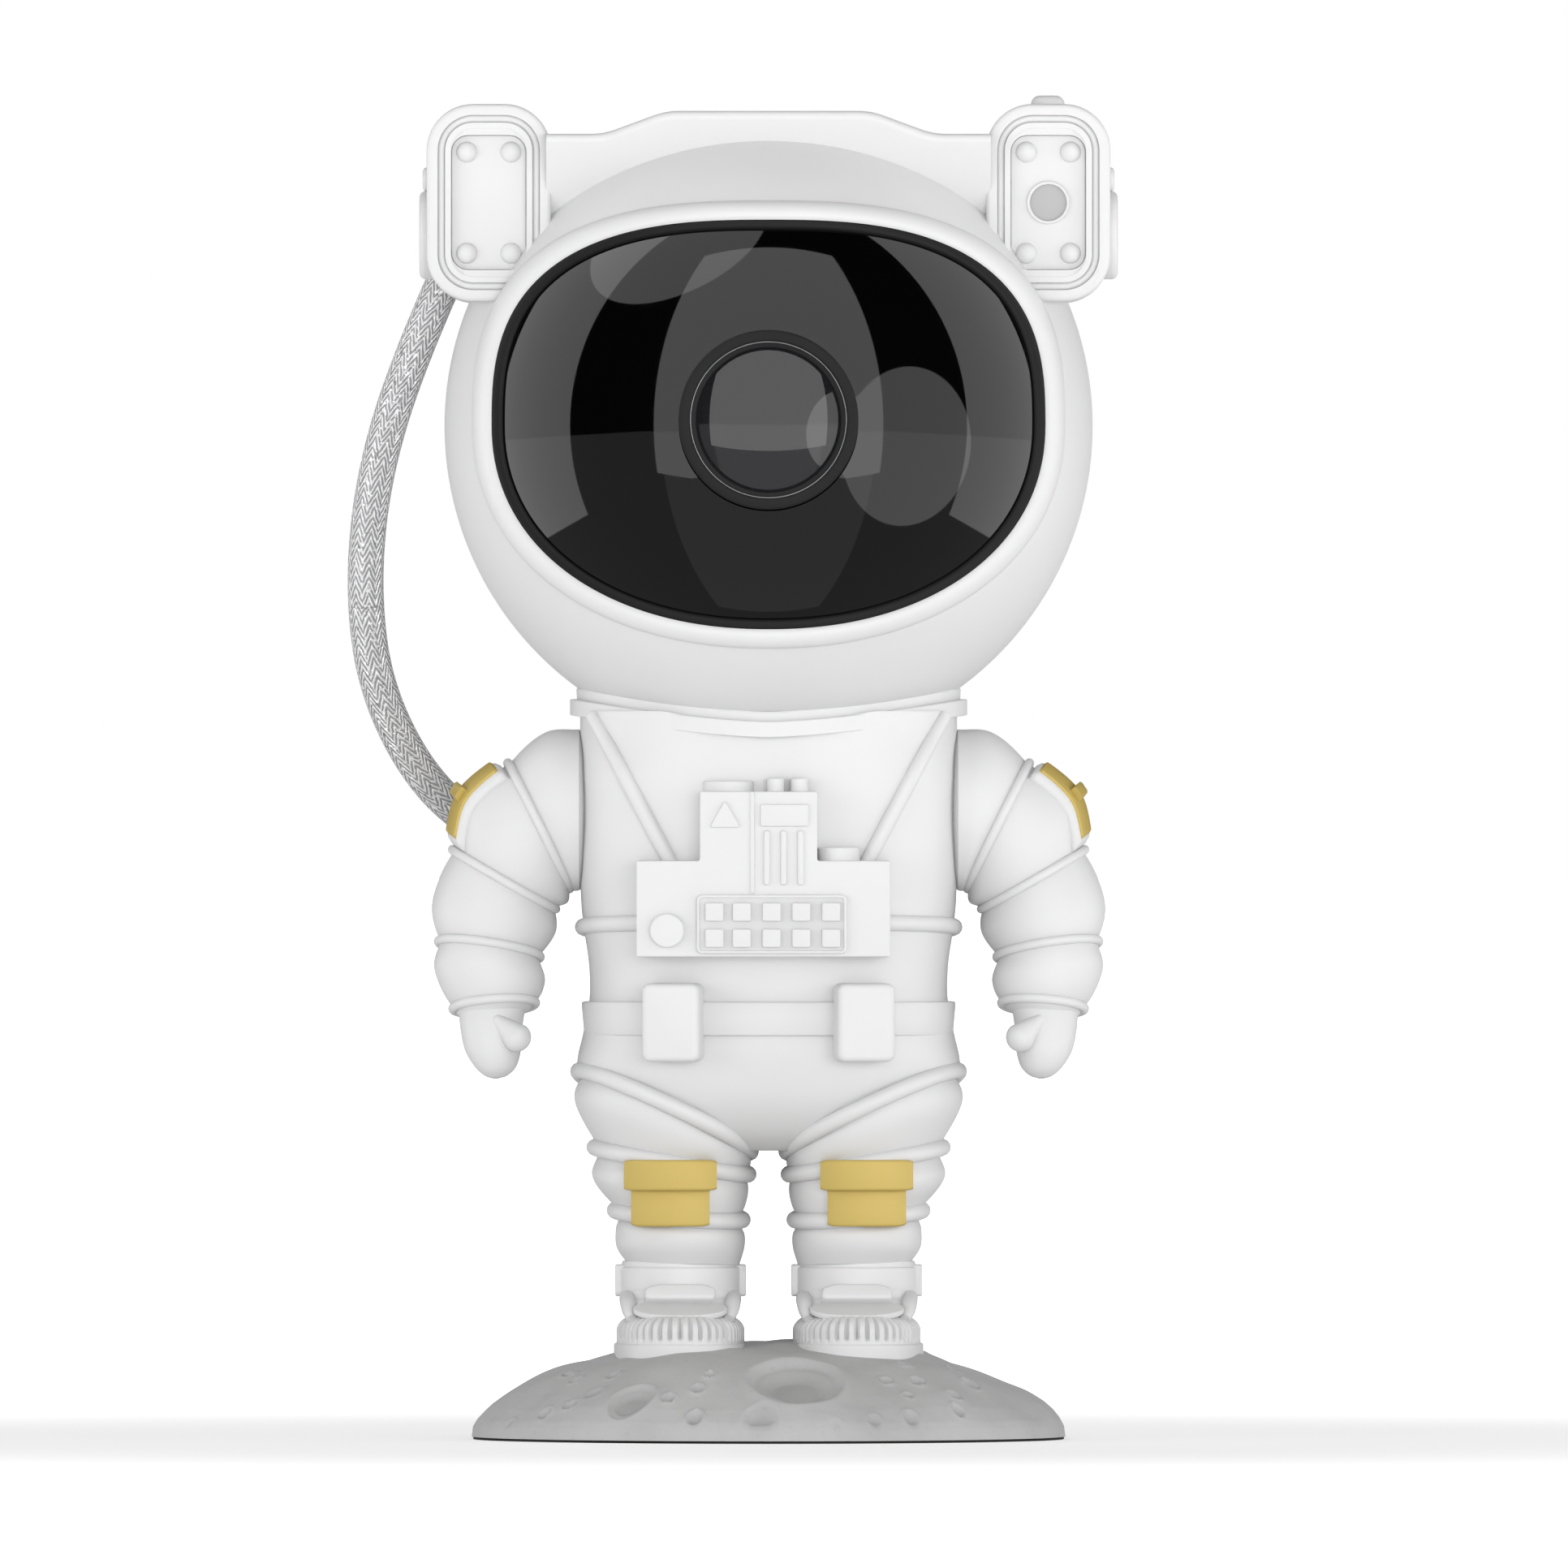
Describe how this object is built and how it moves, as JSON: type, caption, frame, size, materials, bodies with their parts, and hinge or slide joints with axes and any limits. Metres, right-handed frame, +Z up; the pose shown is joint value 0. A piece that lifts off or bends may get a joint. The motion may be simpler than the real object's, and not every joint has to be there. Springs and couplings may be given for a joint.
{
  "type": "planetarium projector",
  "caption": "Tabletop planetarium projector: a standing figure on a moon base whose round turning and nodding head holds the lens, motor and controls.",
  "frame": {"origin": "centre of the base on the surface it stands on", "axes": "+Z up, the figure and its lens face -Y, +X to the viewer's right"},
  "size_m": [0.1329, 0.1105, 0.2316],
  "materials": {
    "white_plastic": "satin moulded plastic",
    "moon_grey": "fine matt texture",
    "dark_plastic": "matt",
    "cast_iron": "rough cast",
    "screw_steel": "zinc plated",
    "black_rubber": "soft matt",
    "gold_trim": "satin metallic paint",
    "smoked_glass": "polished smoked acrylic",
    "lens_glass": "polished",
    "magnet_nickel": "nickel plated",
    "circuit_green": "solder mask",
    "aluminium": "bead blasted",
    "brass": "turned",
    "key_grey": "satin",
    "hose_braid": "silver braided sleeve"
  },
  "bodies": {
    "stand": {"moon_base_shell": "moon_grey", "base_plate": "dark_plastic", "ballast_weight": "cast_iron", "base_screws": "screw_steel", "rubber_pad": "black_rubber", "left_boot": "white_plastic", "right_boot": "white_plastic", "left_leg": "white_plastic", "right_leg": "white_plastic", "left_knee_patch": "gold_trim", "right_knee_patch": "gold_trim", "torso_front_shell": "white_plastic", "torso_back_shell": "white_plastic", "collar_ring": "white_plastic", "neck_post": "white_plastic", "belt": "white_plastic", "chest_panel": "white_plastic", "chest_keypad": "white_plastic", "backpack_shell": "white_plastic", "backpack_cover": "white_plastic", "torso_screws": "screw_steel", "hose": "hose_braid", "hose_lower_socket": "white_plastic"},
    "left_arm": {"left_arm": "white_plastic", "left_hand": "white_plastic", "left_shoulder_patch": "gold_trim", "left_arm_pivot": "dark_plastic"},
    "right_arm": {"right_arm": "white_plastic", "right_hand": "white_plastic", "right_shoulder_patch": "gold_trim", "right_arm_pivot": "dark_plastic"},
    "neck_swivel": {"swivel_cup": "white_plastic", "holding_magnet": "magnet_nickel"},
    "head": {"helmet_front_shell": "white_plastic", "helmet_rear_shell": "white_plastic", "headband": "white_plastic", "left_ear_pod": "white_plastic", "right_ear_pod": "white_plastic", "left_pod_plate": "white_plastic", "right_pod_plate": "white_plastic", "visor_rim": "white_plastic", "visor_gasket": "black_rubber", "visor_glass": "smoked_glass", "seat_plate": "screw_steel", "optics_chassis": "dark_plastic", "projection_lens": "lens_glass", "drive_motor": "screw_steel", "led_board": "aluminium", "laser_module": "brass", "control_board": "circuit_green", "control_panel": "white_plastic", "usb_socket": "screw_steel", "helmet_screws": "screw_steel", "hose_upper_socket": "white_plastic"},
    "nebula_rotor": {"nebula_disc": "lens_glass"},
    "pinion": {"motor_pinion": "white_plastic"},
    "power_button": {"power_button": "key_grey"},
    "nebula_button": {"nebula_button": "key_grey"},
    "star_button": {"star_button": "key_grey"},
    "pod_button": {"pod_button": "key_grey"}
  },
  "joints": [
    {"name": "head_turn", "type": "hinge", "parent": "stand", "child": "neck_swivel", "pos_m": [0, 0, 0.1747], "axis": [0, 0, 1], "range_deg": [-30, 30], "deforming": ["hose"]},
    {"name": "head_nod", "type": "hinge", "parent": "neck_swivel", "child": "head", "pos_m": [0, 0, 0.1747], "axis": [1, 0, 0], "range_deg": [-25, 15], "deforming": ["hose"]},
    {"name": "left_arm_swing", "type": "hinge", "parent": "stand", "child": "left_arm", "pos_m": [-0.0328, 0, 0.1085], "axis": [-1, 0, 0], "range_deg": [-10, 80]},
    {"name": "right_arm_swing", "type": "hinge", "parent": "stand", "child": "right_arm", "pos_m": [0.0328, 0, 0.1085], "axis": [-1, 0, 0], "range_deg": [-10, 80]},
    {"name": "nebula_spin", "type": "hinge", "parent": "head", "child": "nebula_rotor", "pos_m": [0, -0.0111, 0.1668], "axis": [0, 1, 0], "continuous": true},
    {"name": "pinion_spin", "type": "hinge", "parent": "head", "child": "pinion", "pos_m": [0, -0.0111, 0.1488], "axis": [0, 1, 0], "continuous": true},
    {"name": "power_press", "type": "slide", "parent": "head", "child": "power_button", "axis": [0, -1, 0], "range_m": [0, 0.0008], "stiffness_N_per_m": 400, "springref_m": -0.0008},
    {"name": "nebula_press", "type": "slide", "parent": "head", "child": "nebula_button", "axis": [0, -1, 0], "range_m": [0, 0.0008], "stiffness_N_per_m": 400, "springref_m": -0.0008},
    {"name": "star_press", "type": "slide", "parent": "head", "child": "star_button", "axis": [0, -1, 0], "range_m": [0, 0.0008], "stiffness_N_per_m": 400, "springref_m": -0.0008},
    {"name": "pod_button_press", "type": "slide", "parent": "head", "child": "pod_button", "axis": [0, 0, -1], "range_m": [0, 0.0008], "stiffness_N_per_m": 400, "springref_m": -0.0008}
  ],
  "couplings": [
    {"joint": "pinion_spin", "follows": "nebula_spin", "ratio": -4}
  ]
}
